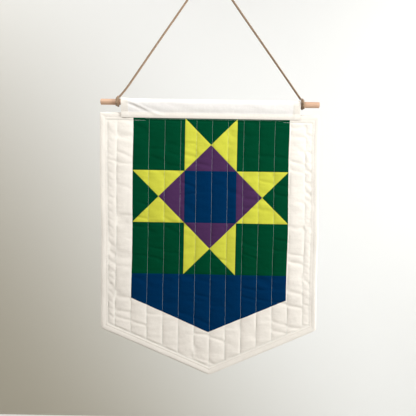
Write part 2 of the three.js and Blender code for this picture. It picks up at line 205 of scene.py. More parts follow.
class BannerHanging(bpy.types.PropertyGroup):
    """Sizes and colours of the dowel, its sleeve and the twine."""

    dowel_diameter: amount("Dowel diameter", "Thickness of the rod", 9.5 * MM)
    dowel_length: amount("Dowel length", "Length of the rod", DOWEL_HIGH.x - DOWEL_LOW.x)
    sleeve_cloth: amount("Sleeve cloth", "Thickness of the sleeve's cloth", 0.5 * MM)
    hem_width: amount("Hem width", "Width of the hem at each end", 11 * MM)
    twine_diameter: amount("Twine diameter", "Thickness of the twine", 2.8 * MM)
    ply_count: IntProperty(
        name="Plies", description="Yarns twisted together in the twine", min=2, max=4, default=3
    )
    wood: colour("Wood", "Bare wood of the dowel", "#cba589")
    jute: colour("Jute", "Fibre of the twine", "#a78b70")


class BannerStage(bpy.types.PropertyGroup):
    """The room, its light and the camera."""

    lens: amount("Lens", "Focal length of the camera", 40.24, "CAMERA")
    key_power: amount("Key light", "Power of the soft light at the right", 18.5, "POWER")
    upper_power: amount("Upper light", "Power of the small one, upper left", 4.2, "POWER")
    wall_left_power: amount("Left wall light", "Power at the wall's left", 74, "POWER")
    wall_right_power: amount("Right wall light", "Power at the wall's right", 48, "POWER")
    fill_strength: amount("Fill", "Strength of the light from all round", 0.15, "NONE")
    # The wall's colour holds painted shade, from the light end at its upper right to the dark end
    # at its lower left.
    wall: colour("Wall", "Light end of the graduated wall, and the floor", "#f1f2f0")
    wall_painted_shade: colour("Wall shade", "Dark end of the graduated wall", "#aba697")


class Quilt:
    """The quilt's outline, sewn lines and relief, worked out from its settings."""

    def __init__(self, settings):
        self.binding = settings.binding_width
        self.half_top = settings.top_width / 2
        self.drop = settings.full_drop
        self.valley = settings.valley_thickness / 2
        self.crown = settings.crown_thickness / 2
        self.pitch = settings.line_pitch
        self.stitched = self.binding + EDGE_STITCH_INSET
        lower_x = CENTRE_X + settings.lower_shift
        lower_half = settings.lower_width / 2
        self.outline = [
            Vector((CENTRE_X - self.half_top, TOP_Z)),
            Vector((CENTRE_X + self.half_top, TOP_Z)),
            Vector((lower_x + lower_half, TOP_Z - settings.right_height)),
            Vector((CENTRE_X + settings.tip_shift, TOP_Z - self.drop)),
            Vector((lower_x - lower_half, TOP_Z - settings.left_height)),
        ]
        self.inward = []
        for i, corner in enumerate(self.outline):
            side = (self.outline[(i + 1) % 5] - corner).normalized()
            self.inward.append(Vector((side.y, -side.x)))
        self.lines = []
        for i in range(LINE_COUNT):
            drift = LINE_DRIFT * sin(pi * i / (LINE_COUNT - 1))
            self.lines.append(FIRST_LINE_X + self.pitch * i + drift)
        self.ditch_z = TOP_Z - self.binding
        self.seams = self.patch_seams()

    def corners(self, inset):
        """The outline's corners, clockwise from the top left, with every side moved inwards."""
        moved = []
        for i, corner in enumerate(self.outline):
            before, after = self.inward[i - 1], self.inward[i]
            mitre = (before + after) / (1 + before.dot(after))
            moved.append(corner + mitre * inset)
        return moved

    def lower_edge(self, x, inset):
        """The height of an inset outline's lower edge at x."""
        _, _, right, tip, left = self.corners(inset)
        side = right if x > tip.x else left
        return tip.y + (side.y - tip.y) * (x - tip.x) / (side.x - tip.x)

    def area(self):
        """How much cloth the flat outline holds."""
        following = self.outline[1:] + self.outline[:1]
        pairs = zip(self.outline, following)
        return abs(sum(a.x * b.y - b.x * a.y for a, b in pairs)) / 2

    def depths(self, x, z):
        """How far a point lies in from each side of the outline."""
        return [
            (x - corner.x) * inward.x + (z - corner.y) * inward.y
            for corner, inward in zip(self.outline, self.inward)
        ]

    def panel_foot(self, x):
        """The height of the pointed panel's lower edge at x."""
        side = self.ditch_z - 2 * STAR_HALF - PANEL_SIDE
        return side - (STAR_HALF - abs(x - STAR_X)) * PANEL_SLOPE

    def patch_at(self, x, z):
        """Which cotton shows at a place on the front."""
        down = self.ditch_z - z
        foot = self.panel_foot(x)
        x -= STAR_X
        if abs(x) > STAR_HALF or z < foot:
            return GROUND
        if down > 2 * STAR_HALF:
            return NAVY
        column = min(2, int((x + STAR_HALF) / STAR_CELL))
        row = min(2, int(max(0, down) / STAR_CELL))
        if column == 1 and row == 1:
            return NAVY
        if column != 1 and row != 1:
            return GREEN
        dx = x - (column - 1) * STAR_CELL
        dz = (row + 0.5) * STAR_CELL - down
        outward = dx * (column - 1) + dz * (1 - row)
        across = abs(dz) if row == 1 else abs(dx)
        if outward > across:
            return GREEN
        return PURPLE if -outward > across else LIME

    def patch_seams(self):
        """The patchwork's seams as pairs of end points."""
        top, left, right = self.ditch_z, STAR_X - STAR_HALF, STAR_X + STAR_HALF
        foot = top - 2 * STAR_HALF
        panel = self.panel_foot(left)
        tip = (STAR_X, self.panel_foot(STAR_X))
        seams = [
            ((left, foot), (right, foot)),
            ((left, top), (left, panel)),
            ((right, top), (right, panel)),
            ((left, panel), tip),
            (tip, (right, panel)),
        ]
        for i in (1, 2):
            x = left + i * STAR_CELL
            z = top - i * STAR_CELL
            seams.append(((x, top), (x, foot)))
            seams.append(((left, z), (right, z)))
        for centre in self.split_cells():
            for lean in (1, -1):
                half = Vector((STAR_CELL, lean * STAR_CELL)) / 2
                seams.append((centre - half, centre + half))
        return seams

    def split_cells(self):
        """The centres of the four cells that are cut into triangles."""
        middle = Vector((STAR_X, self.ditch_z - STAR_HALF))
        steps = ((0, 1), (0, -1), (-1, 0), (1, 0))
        return [middle + Vector(step) * STAR_CELL for step in steps]

    def seam_distance(self, x, z):
        """How far a place is from the nearest seam of the patchwork."""
        nearest = 1.0
        for (ax, az), (bx, bz) in self.seams:
            ux, uz = bx - ax, bz - az
            t = ((x - ax) * ux + (z - az) * uz) / (ux * ux + uz * uz)
            t = min(1.0, max(0.0, t))
            nearest = min(nearest, hypot(x - ax - t * ux, z - az - t * uz))
        return nearest

    def loft(self, x, z, depths):
        """How full the cloth stands: 0 on a sewn line and 1 on a wide channel's crown."""
        edge = min(depths) - self.stitched
        if edge < 0:
            outward = min(1.0, -edge / EDGE_STITCH_INSET)
            return EDGE_STRIP_LOFT * sin(EDGE_STRIP_TURN * outward)
        left = x - (depths[4] - self.stitched)
        right = x + (depths[1] - self.stitched)
        for line in self.lines:
            if left < line <= x:
                left = line
            elif x < line < right:
                right = line
        width = right - left
        if width <= 0:
            return 0.0
        fullness = sqrt(min(1.0, width / self.pitch))
        crown = sin(pi * min(1.0, max(0.0, (x - left) / width))) ** CROWN_FULLNESS
        ends = min(depths[0], depths[2], depths[3]) - self.stitched
        return fullness * crown * smooth(ends / FLAT_BY_STITCH)

    def rise(self, x, z, front):
        """How far a face stands from the middle plane."""
        depths = self.depths(x, z)
        loft = self.loft(x, z, depths)
        seed = FRONT_SEED if front else BACK_SEED
        uneven = pattern(CROWN_UNEVEN, x, z, seed)
        rise = self.valley + (self.crown - self.valley) * loft * (1 + uneven)
        held = min(1.0, loft / LOFT_TO_HOLD_FOLDS)
        if min(depths) < self.stitched:
            held *= EDGE_STRIP_CALM
        rise -= self.creases(x, z, seed) * held
        rise += pattern(PUCKERS, x, z, seed) * held
        rise += self.gathers(x, z, seed, depths)
        rise -= self.side_dents(x, z, depths, seed) * held
        if front and abs(x - STAR_X) < STAR_HALF + SEAM_ALLOWANCE:
            rise += self.seam_relief(x, z)
        return rise

    def creases(self, x, z, seed):
        """Narrow slanting folds across a channel, which start anew in the next one."""
        channel = sum(x > line for line in self.lines)
        shift = CREASE_STEP * noise.noise(Vector((CHANNEL_STEP * channel, seed, 0.5)))
        level = pattern(CREASE_LEVEL, x, z + shift + CREASE_SLOPE * x, seed)
        shown = pattern(CREASE_SHOWN, CHANNEL_SHOWN_STEP * channel, z, seed)
        depth = CREASE_DEPTH * smooth(shown + CREASE_SHOWN_SHARE)
        return depth * bell(level / CREASE_NARROWNESS)

    def gathers(self, x, z, seed, depths):
        """Small level ripples where the thread draws the cloth in along each quilting line."""
        if min(depths) < self.stitched:
            return 0.0
        index = min(range(LINE_COUNT), key=lambda i: abs(x - self.lines[i]))
        away = abs(x - self.lines[index]) / GATHER_REACH
        side = 0.5 if x > self.lines[index] else 0
        draw = noise.noise(Vector((z / GATHER_SPACING, index * GATHER_LINE_STEP + side, seed)))
        return GATHER_DEPTH * draw * away * exp(1 - away)

    def side_dents(self, x, z, depths, seed):
        """Slanting dents that the two rows of stitching make in the narrow side channels."""
        near = min(depths[1], depths[4]) - self.stitched
        if near > DENT_REACH or near < 0:
            return 0.0
        shifted = z + DENT_SLOPE * x + pattern(DENT_WANDER, x, z, seed)
        turn = tau * shifted / DENT_SPACING
        across = sin(pi * sqrt(near / DENT_REACH))
        return DENT_DEPTH * max(0.0, sin(turn)) ** 3 * across

    def seam_relief(self, x, z):
        """The dip along a seam, and its allowances, which lie under the dyed side."""
        distance = self.seam_distance(x, z)
        relief = -SEAM_DIP * bell(distance / SEAM_HALF_WIDTH)
        if self.patch_at(x, z) != GROUND and distance < SEAM_ALLOWANCE:
            near = smooth((SEAM_ALLOWANCE - distance) / SEAM_ALLOWANCE_EDGE)
            relief += SEAM_ALLOWANCE_RISE * near
        return relief

    def lay(self, x, y, z):
        """Where a point of the flat quilt is once the cloth hangs."""
        below = max(0.0, self.ditch_z - z)
        drop = below / self.drop
        across = (x - CENTRE_X) / self.half_top
        free = min(1.0, below / FREE_BELOW)
        side = copysign(SIDE_SHIFT, across)
        bow = BOW_DEPTH * sin(pi * drop) * cos(BOW_SPREAD * across + BOW_SHIFT)
        ripple = EDGE_RIPPLE * sin(tau * z / EDGE_RIPPLE_LENGTH + side)
        wander = OUTLINE_WANDER * sin(tau * z / OUTLINE_WANDER_LENGTH + side)
        return Vector((
            x + free * (wander * across + pattern(SEWN_ASIDE, x, z)),
            y + free * (bow + ripple * abs(across) ** 3) - TIP_FORWARD * drop ** 2,
            z + free * pattern(SEWN_UP, x, z),
        ))

    def point(self, x, z, front, proud=0.0):
        """A point on the hung quilt's front or back face."""
        out = self.rise(x, z, front) + proud
        return self.lay(x, QUILT_Y - out if front else QUILT_Y + out, z)


def smooth(value):
    """A share that starts and stops gently, from 0 to 1."""
    value = min(1.0, max(0.0, value))
    return value * value * (3 - 2 * value)


def bell(value):
    """A smooth bump: 1 at nought, and next to nothing past 2."""
    return exp(-value * value)


def pattern(settings, x, z, seed=0):
    """A pattern of smooth noise over the cloth, at one place."""
    strength, across, down, own_seed = settings
    return strength * noise.noise(Vector((x / across, seed + own_seed, z / down)))


def mapped_grid(columns, rows, place, uv_size):
    """A grid whose points go where place(u, v) says, with its own UV map in metres."""
    bm = bmesh.new()
    layer = bm.loops.layers.uv.new("UVMap")
    bmesh.ops.create_grid(bm, x_segments=columns, y_segments=rows, size=0.5)
    for face in bm.faces:
        for loop in face.loops:
            u, v = loop.vert.co.x + 0.5, loop.vert.co.y + 0.5
            loop[layer].uv = (u * uv_size[0], v * uv_size[1])
    for vert in bm.verts:
        vert.co = place(min(1.0, max(0.0, vert.co.x + 0.5)), min(1.0, max(0.0, vert.co.y + 0.5)))
    return bm


def close_shell(bm):
    """Welds the edges that meet and turns every face outwards."""
    bmesh.ops.remove_doubles(bm, verts=bm.verts[:], dist=MERGE_DISTANCE)
    bmesh.ops.dissolve_degenerate(bm, edges=bm.edges[:], dist=MERGE_DISTANCE)
    bmesh.ops.recalc_face_normals(bm, faces=bm.faces[:])


def absorb(whole, part):
    """Adds one bmesh to another and frees it."""
    carrier = bpy.data.meshes.new("carrier")
    part.to_mesh(carrier)
    part.free()
    whole.from_mesh(carrier)
    bpy.data.meshes.remove(carrier)


def add_piece(name, bm, materials, replaces=()):
    """Makes a finished bmesh a piece of the object."""
    mesh = bpy.data.meshes.new(name)
    bm.to_mesh(mesh)
    bm.free()
    for material in materials:
        mesh.materials.append(material)
    mesh.shade_smooth()
    mesh.set_sharp_from_angle(angle=SHARP_ANGLE)
    piece = bpy.data.objects.new(name, mesh)
    bpy.context.scene.collection.objects.link(piece)
    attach(piece, "root")
    if replaces:
        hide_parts(*replaces)
    return piece


def cut(bm, point, normal, faces=None, clear=False):
    """Cuts the flat cloth along a line in X and Z, and drops what lies on the normal's side."""
    if faces is None:
        geom = bm.verts[:] + bm.edges[:] + bm.faces[:]
    else:
        verts = {vert for face in faces for vert in face.verts}
        edges = {edge for face in faces for edge in face.edges}
        geom = [*verts, *edges, *faces]
    place, away = (Vector((pair[0], 0, pair[1])) for pair in (point, normal))
    bmesh.ops.bisect_plane(
        bm, geom=geom, dist=CUT_DISTANCE, plane_co=place, plane_no=away, clear_outer=clear
    )


def new_material(name):
    """A new material, its node tree and its Principled shader."""
    material = bpy.data.materials.new(name)
    material.use_nodes = True
    tree = material.node_tree
    return material, tree, tree.nodes["Principled BSDF"]


def set_inputs(tree, node, inputs):
    """Sets inputs that are values, and links those that are sockets."""
    for name, value in inputs.items():
        if isinstance(value, bpy.types.NodeSocket):
            tree.links.new(value, node.inputs[name])
        else:
            node.inputs[name].default_value = value


def add_node(tree, kind, inputs, out=0, **options):
    """Adds a node with its inputs and options, and gives one of its outputs."""
    node = tree.nodes.new("ShaderNode" + kind)
    for name, value in options.items():
        setattr(node, name, value)
    set_inputs(tree, node, inputs)
    return node.outputs[out]


def tinted(tone, factor):
    """A linear colour made darker or lighter, with alpha."""
    return (*(min(1.0, c * factor) for c in tone), 1)


def bands(period):
    """The Wave texture's scale for bands with that period."""
    return pi / 10 / period


# Real quilting cotton has a thread every 0.35 mm. The weave is drawn at 0.9 mm so that it shows.
WEAVE_PITCH = 0.9 * MM
WEAVE_DEPTH = 0.12 * MM
SLUB_LENGTH = 26 * MM
SLUB_WIDTH = 1.1 * MM
DYE_PATCH = 34 * MM
DYE_UNEVEN = 0.14
CRINKLE_SIZE = 8 * MM
CRINKLE_DEPTH = 0.9 * MM


def quilting_cotton(name, tone, sheen=0.15, gloss=0.2):
    """Plain-woven, piece-dyed cotton: matt, a little uneven in its dye, with slubs and a nap."""
    material, tree, shader = new_material(name)
    place = add_node(tree, "TexCoord", {}, "UV")
    threads = {"Vector": place, "Scale": bands(WEAVE_PITCH), "Distortion": 0.6, "Detail": 1}
    warp = add_node(tree, "TexWave", threads, "Fac", bands_direction="X")
    weft = add_node(tree, "TexWave", threads, "Fac", bands_direction="Y")
    weave = add_node(tree, "Math", {0: warp, 1: weft}, operation="MULTIPLY")
    slub = (1 / SLUB_LENGTH, 1 / SLUB_WIDTH, 1)
    along = add_node(tree, "Mapping", {"Vector": place, "Scale": slub})
    slubs = add_node(tree, "TexNoise", {"Vector": along, "Scale": 1, "Detail": 2}, "Fac")
    patch = {"Vector": place, "Scale": 1 / DYE_PATCH, "Detail": 3}
    dye = add_node(tree, "TexNoise", patch, "Fac")
    blend = add_node(tree, "Mix", {0: 0.45, 2: dye, 3: slubs})
    tones = {0: blend, 6: tinted(tone, 1 - DYE_UNEVEN), 7: tinted(tone, 1 + DYE_UNEVEN)}
    shade = add_node(tree, "Mix", tones, 2, data_type="RGBA")
    # Painted shade: the colour is darkened a little between the threads of the weave.
    weave_painted_shade = {0: 0.16, 6: shade, 7: weave}
    woven_with_painted_shade = add_node(tree, "Mix", weave_painted_shade, 2, data_type="RGBA", blend_type="MULTIPLY")
    wrinkle = {"Vector": place, "Scale": 1 / CRINKLE_SIZE, "Detail": 3}
    crinkle = add_node(tree, "TexNoise", wrinkle, "Fac")
    fine = add_node(tree, "Bump", {"Strength": 0.5, "Distance": WEAVE_DEPTH, "Height": weave})
    nap = {"Strength": 0.6, "Distance": CRINKLE_DEPTH, "Height": crinkle, "Normal": fine}
    surface = {
        "Base Color": woven_with_painted_shade,
        "Roughness": 0.92,
        "Specular IOR Level": gloss,
        "Sheen Weight": sheen,
        "Sheen Roughness": 0.6,
        "Normal": add_node(tree, "Bump", nap),
    }
    set_inputs(tree, shader, surface)
    return material


THREAD_TWIST = 2.4 * MM


def cotton_thread(name, tone):
    """Mercerised sewing thread: a faint gloss, brighter than the cloth it lies on."""
    material, tree, shader = new_material(name)
    place = add_node(tree, "TexCoord", {}, "Object")
    twist = {"Vector": place, "Scale": 1 / THREAD_TWIST, "Detail": 2}
    plies = add_node(tree, "TexNoise", twist, "Fac")
    tones = {0: plies, 6: tinted(tone, 0.82), 7: tinted(tone, 1.08)}
    shade = add_node(tree, "Mix", tones, 2, data_type="RGBA")
    surface = {"Base Color": shade, "Roughness": 0.6, "Specular IOR Level": 0.25}
    set_inputs(tree, shader, surface)
    return material


# The rod was sawn from a board with its rings round a heart above and in front of it.
HEART = (0, 34 * MM, -DOWEL_Z + 11 * MM)
RING_PITCH = 1.5 * MM
RING_ALONG = 0.06
PORE_LENGTH = 24 * MM
PORE_WIDTH = 0.5 * MM
PORE_DEPTH = 0.08 * MM


def sanded_birch(name, tone):
    """Bare birch, turned and sanded: close straight grain along the rod, and rings across its sawn
    ends.
    """
    material, tree, shader = new_material(name)
    place = add_node(tree, "TexCoord", {}, "Object")
    sawn = {"Vector": place, "Location": HEART, "Scale": (RING_ALONG, 1, 1)}
    board = add_node(tree, "Mapping", sawn)
    growth = {"Scale": bands(RING_PITCH), "Distortion": 2.2, "Detail": 2, "Detail Scale": 1.3}
    growth["Vector"] = board
    rings = add_node(tree, "TexWave", growth, "Fac", wave_type="RINGS", wave_profile="SAW")
    pore = (1 / PORE_LENGTH, 1 / PORE_WIDTH, 1 / PORE_WIDTH)
    fibres = add_node(tree, "Mapping", {"Vector": place, "Scale": pore})
    close = {"Vector": fibres, "Scale": 1, "Detail": 3, "Roughness": 0.6}
    pores = add_node(tree, "TexNoise", close, "Fac")
    grain = add_node(tree, "Mix", {0: 0.55, 2: rings, 3: pores})
    tones = {0: grain, 6: tinted(tone, 1.12), 7: tinted(tone, 0.78)}
    shade = add_node(tree, "Mix", tones, 2, data_type="RGBA")
    bump = add_node(tree, "Bump", {"Strength": 0.3, "Distance": PORE_DEPTH, "Height": pores})
    set_inputs(tree, shader, {"Base Color": shade, "Roughness": 0.58, "Normal": bump})
    return material


JUTE_LENGTH = 5 * MM
JUTE_WIDTH = 0.35 * MM
JUTE_DEPTH = 0.2 * MM
# Where the dark and the light fibres start in the noise, and how dark and light they are.
JUTE_TONES = ((0.3, 0.36), (0.72, 1.45))


def jute_fibre(name, tone):
    """Spun jute: coarse dry fibres that run along each yarn, from straw to brown."""
    material, tree, shader = new_material(name)
    place = add_node(tree, "TexCoord", {}, "UV")
    fibre = (1 / JUTE_LENGTH, 1 / JUTE_WIDTH, 1)
    along = add_node(tree, "Mapping", {"Vector": place, "Scale": fibre})
    coarse = {"Vector": along, "Scale": 1, "Detail": 3, "Roughness": 0.65}
    fibres = add_node(tree, "TexNoise", coarse, "Fac")
    ramp = add_node(tree, "ValToRGB", {"Fac": fibres})
    for stop, (position, factor) in zip(ramp.node.color_ramp.elements, JUTE_TONES):
        stop.position = position
        stop.color = tinted(tone, factor)
    surface = {
        "Base Color": ramp,
        "Roughness": 0.95,
        "Specular IOR Level": 0.2,
        "Sheen Weight": 0.3,
        "Normal": add_node(
            tree, "Bump", {"Strength": 0.8, "Distance": JUTE_DEPTH, "Height": fibres}
        ),
    }
    set_inputs(tree, shader, surface)
    return material


def flat_paint(name, tone, shade):
    """Matt paint on board whose colour runs from a dark tone to a light one across it: painted
    shade, darker where less light would fall.
    """
    material, tree, shader = new_material(name)
    place = add_node(tree, "TexCoord", {}, "Object")
    # Painted shade: the tone is mixed from the dark end to the light end along one direction.
    across = {0: place, 1: PAINTED_SHADE_ACROSS}
    along = add_node(tree, "VectorMath", across, "Value", operation="DOT_PRODUCT")
    reach = {"Value": along, "From Min": PAINTED_SHADE_FROM, "From Max": PAINTED_SHADE_TO}
    share = add_node(tree, "MapRange", reach, interpolation_type="SMOOTHSTEP")
    tones = {0: share, 6: tinted(shade, 1), 7: tinted(tone, 1)}
    painted_shade_mix = add_node(tree, "Mix", tones, 2, data_type="RGBA")
    surface = {"Base Color": painted_shade_mix, "Roughness": 0.9, "Specular IOR Level": 0.2}
    set_inputs(tree, shader, surface)
    return material


# The camera's place and turn: above the middle, looking slightly down.
CAMERA_PLACE = Vector((5.2, -750.5, -357.6)) * MM
CAMERA_YAW = radians(0.16)
CAMERA_DOWN = radians(1.63)
CAMERA_ROLL = radians(0.96)
SENSOR_WIDTH = 36

FLOOR_Z = -1.5
WALL_Y = 1.6
WALL_HALF = 1.5
FLOOR_HALF = 12.0

# The soft lights: where each stands, what it is turned to, its width and its colour.
DAYLIGHT = (0.95, 0.985, 1)
WALL_DAYLIGHT = (0.97, 0.985, 1)
BANNER_MIDDLE = (0, 0, -0.42)
LIGHTS = {
    "key": ((1.0, -0.7, -0.05), BANNER_MIDDLE, 0.5, DAYLIGHT),
    "upper": ((-0.3, -0.45, 0.25), BANNER_MIDDLE, 0.3, DAYLIGHT),
    "wall_left": ((-2.6, 0.2, 1.8), (-0.6, WALL_Y, 0), 0.6, WALL_DAYLIGHT),
    "wall_right": ((2.6, 0.2, 0.5), (0.6, WALL_Y, 0.3), 0.6, WALL_DAYLIGHT),
}
FILL_COLOUR = (1, 0.74, 0.54, 1)

# Painted shade on the wall: its tone runs from dark at its lower left to light at its upper right,
# in metres along that direction.
PAINTED_SHADE_ACROSS = (0.85, 0, 0.53)
PAINTED_SHADE_FROM = -1.7
PAINTED_SHADE_TO = 0.2


def make_camera(stage):
    data = bpy.data.cameras.new("camera")
    data.lens = stage.lens
    data.sensor_width = SENSOR_WIDTH
    camera = bpy.data.objects.new("camera", data)
    bpy.context.scene.collection.objects.link(camera)
    yaw = Matrix.Rotation(CAMERA_YAW, 4, "Z")
    down = Matrix.Rotation(pi / 2 - CAMERA_DOWN, 4, "X")
    roll = Matrix.Rotation(CAMERA_ROLL, 4, "Z")
    camera.matrix_world = Matrix.Translation(CAMERA_PLACE) @ yaw @ down @ roll
    bpy.context.scene.camera = camera


def add_light(name, power):
    place, aim, size, tint = LIGHTS[name]
    data = bpy.data.lights.new(name, "AREA")
    data.shape = "DISK"
    data.size = size
    data.energy = power
    data.color = tint
    lamp = bpy.data.objects.new(name, data)
    turn = (Vector(aim) - Vector(place)).to_track_quat("-Z", "Y")
    lamp.matrix_world = Matrix.LocRotScale(Vector(place), turn, None)
    lamp.visible_camera = False
    bpy.context.scene.collection.objects.link(lamp)


def add_stage_sheet(name, place, turn, half, material):
    bm = bmesh.new()
    matrix = Matrix.LocRotScale(place, turn, Vector((half, half, half)))
    bmesh.ops.create_grid(bm, x_segments=8, y_segments=8, size=1, matrix=matrix)
    mesh = bpy.data.meshes.new(name)
    bm.to_mesh(mesh)
    bm.free()
    mesh.materials.append(material)
    sheet = bpy.data.objects.new(name, mesh)
    bpy.context.scene.collection.objects.link(sheet)


class BANNER_OT_stage(bpy.types.Operator):
    """Makes the camera, the soft light, the plain floor and the wall far behind"""

    bl_idname = "banner.stage"
    bl_label = "Stage"

    def execute(self, context):
        stage = context.scene.banner_stage
        make_camera(stage)
        paint = flat_paint("flat_paint", stage.wall, stage.wall)
        # The wall is painted darker towards its lower left: painted shade.
        painted_shade_backdrop = flat_paint("graduated_paint", stage.wall, stage.wall_painted_shade)
        add_stage_sheet("floor", Vector((0, 0, FLOOR_Z)), None, FLOOR_HALF, paint)
        wall_place = Vector((0, WALL_Y, FLOOR_Z + WALL_HALF))
        add_stage_sheet("wall", wall_place, UPRIGHT, WALL_HALF, painted_shade_backdrop)
        for name in LIGHTS:
            add_light(name, getattr(stage, name + "_power"))
        world = bpy.data.worlds.new("room")
        world.use_nodes = True
        background = world.node_tree.nodes["Background"]
        background.inputs["Color"].default_value = FILL_COLOUR
        background.inputs["Strength"].default_value = stage.fill_strength
        context.scene.world = world
        context.scene.view_settings.view_transform = "Standard"
        return {"FINISHED"}


# The twine's centreline in X and Z, taut from the left knot over the nail to the right knot.
TWINE_ROUTE = [
    (-142.2, -203.1), (-130.8, -189), (-111, -160), (-82.8, -118), (-54.1, -76), (-27.1, -36),
    (-10.8, -12), (-2.8, -0.1), (-1.5, 1), (0, 1.4), (1.5, 1), (2.8, -0.1), (11.5, -12),
    (28.8, -36), (57.4, -76), (87.8, -118), (118.3, -160), (149.4, -203.3),
]
TWINE_STEP = 1.1 * MM
# Jute stands fuller than its measured thickness, most of all where it hangs.
HUNG_TWINE_SWELL = 1.35
KNOT_SWELL = 1.15
YARN_SIDES = 8
YARN_RADIUS_SHARE = 0.235
YARN_ORBIT_SHARE = 0.29
YARN_UNEVEN = 0.14
YARN_THICK_RUN = 11 * MM
YARN_SLACK_RUN = 7 * MM
TWINE_LAY = 8.5 * MM
TWINE_SEED = 11.5
KNOT_SEED = 20.5
FIBRE_COUNT = 560
FIBRE_RADIUS = 0.05 * MM
FIBRE_REACH = 3.2 * MM
FIBRE_ROOT_SHARE = 0.42
FIBRE_LEAN = 1.6
FIBRE_CURL = 0.5
FIBRE_SEED = 7

# Knots: turns round the dowel, then one that crosses over their front up to the twine's leg.
# Each has its side's name, its place along the dowel and the way that it leans.
KNOTS = [("left", -144.4 * MM, 1), ("right", 151.9 * MM, -1)]
KNOT_TURNS = 2
KNOT_GAP = 0.15 * MM
KNOT_STEP_DEGREES = 9
KNOT_START_DEGREES = 80
CROSSING_FROM_DEGREES = 250
CROSSING_TO_DEGREES = 100
CROSSING_PROUD = 0.85
CROSSING_TUCK = 0.75


def catmull_rom(points, step):
    """A smooth line through the points, in steps of about one length."""
    line = []
    padded = [2 * points[0] - points[1], *points, 2 * points[-1] - points[-2]]
    for before, start, end, after in zip(padded, padded[1:], padded[2:], padded[3:]):
        count = max(1, round((end - start).length / step))
        slack = (end - start).length
        leaving = (end - before) * slack / (slack + (start - before).length)
        arriving = (after - start) * slack / (slack + (after - end).length)
        for i in range(count):
            t = i / count
            line.append(
                start * (2 * t ** 3 - 3 * t ** 2 + 1)
                + leaving * (t ** 3 - 2 * t ** 2 + t)
                + end * (3 * t ** 2 - 2 * t ** 3)
                + arriving * (t ** 3 - t ** 2)
            )
    line.append(points[-1])
    return line


def distances(line):
    """How far along a line each of its points is."""
    return [0.0, *accumulate((end - start).length for start, end in zip(line, line[1:]))]


def plied_cord(line, sideways, plies, diameter, seed):
    """Yarns twisted round a centreline; sideways gives a direction square to it at each point."""
    whole = bmesh.new()
    whole.loops.layers.uv.new("UVMap")
    travelled = distances(line)
    rows = len(line) - 1
    for ply in range(plies):
        def place(u, v):
            i = round(u * rows)
            at = travelled[i]
            ahead = (line[min(rows, i + 1)] - line[max(0, i - 1)]).normalized()
            out = (sideways[i] - ahead * sideways[i].dot(ahead)).normalized()
            over = ahead.cross(out)
            turn = tau * (at / TWINE_LAY + ply / plies)
            slack = noise.noise(Vector((at / YARN_SLACK_RUN, ply * 3.3, seed)))
            orbit = YARN_ORBIT_SHARE * diameter * (1 + 0.5 * YARN_UNEVEN * slack)
            centre = line[i] + (out * cos(turn) + over * sin(turn)) * orbit
            if i in (0, rows):
                return centre
            thick = noise.noise(Vector((at / YARN_THICK_RUN, ply * 5.1, seed + 4.2)))
            radius = YARN_RADIUS_SHARE * diameter * (1 + YARN_UNEVEN * thick)
            angle = tau * v + turn
            return centre + (out * cos(angle) + over * sin(angle)) * radius

        around = tau * YARN_RADIUS_SHARE * diameter
        yarn = mapped_grid(rows, YARN_SIDES, place, (travelled[-1], around))
        close_shell(yarn)
        absorb(whole, yarn)
    return whole


def stray_fibres(line, diameter):
    """Short loose fibres that stand off the twine."""
    whole = bmesh.new()
    whole.loops.layers.uv.new("UVMap")
    chance = random.Random(FIBRE_SEED)
    for _ in range(FIBRE_COUNT):
        i = chance.randrange(2, len(line) - 2)
        ahead = (line[i + 1] - line[i - 1]).normalized()
        out = Matrix.Rotation(chance.uniform(0, tau), 3, ahead) @ Vector((0, 1, 0))
        lean = chance.uniform(-FIBRE_LEAN, FIBRE_LEAN)
        reach = FIBRE_REACH * chance.uniform(0.35, 1)
        curl = Vector([chance.uniform(-FIBRE_CURL, FIBRE_CURL) for _ in range(3)])
        root = line[i] + out * diameter * FIBRE_ROOT_SHARE

        def place(u, v):
            tip = (out + ahead * lean).normalized() * reach * u + curl * reach * u * u
            angle = tau * v
            side = ahead.cross(out)
            away = (ahead * cos(angle) + side * sin(angle)) * FIBRE_RADIUS
            return root + tip + away * (1 - u)

        hair = mapped_grid(3, 3, place, (reach, FIBRE_RADIUS * 6))
        bmesh.ops.remove_doubles(hair, verts=hair.verts[:], dist=MERGE_DISTANCE)
        bmesh.ops.holes_fill(hair, edges=hair.edges[:], sides=3)
        bmesh.ops.recalc_face_normals(hair, faces=hair.faces[:])
        absorb(whole, hair)
    return whole


def knot_line(hanging, x, lean):
    """A knot's centreline and the direction away from the dowel at each of its points."""
    thick = hanging.twine_diameter * KNOT_SWELL
    bore = hanging.dowel_diameter / 2 + KNOT_GAP + thick / 2
    reach = lean * (KNOT_TURNS - 1) * thick / 2
    wound = CROSSING_FROM_DEGREES + 360 * (KNOT_TURNS - 1)
    runs = (
        (KNOT_START_DEGREES, wound, reach, 0.0),
        (CROSSING_FROM_DEGREES, CROSSING_TO_DEGREES, -reach, CROSSING_PROUD * thick),
    )
    line, outward = [], []
    for first, last, along, proud in runs:
        steps = round(abs(last - first) / KNOT_STEP_DEGREES)
        for i in range(min(1, len(line)), steps + 1):
            share = i / steps
            angle = radians(first + (last - first) * share)
            out = Vector((0, cos(angle), sin(angle)))
            over = proud * sin(pi * CROSSING_TUCK * share)
            place = Vector((x + along * (1 - 2 * share), 0, DOWEL_Z))
            line.append(place + out * (bore + over))
            outward.append(out)
    return line, outward


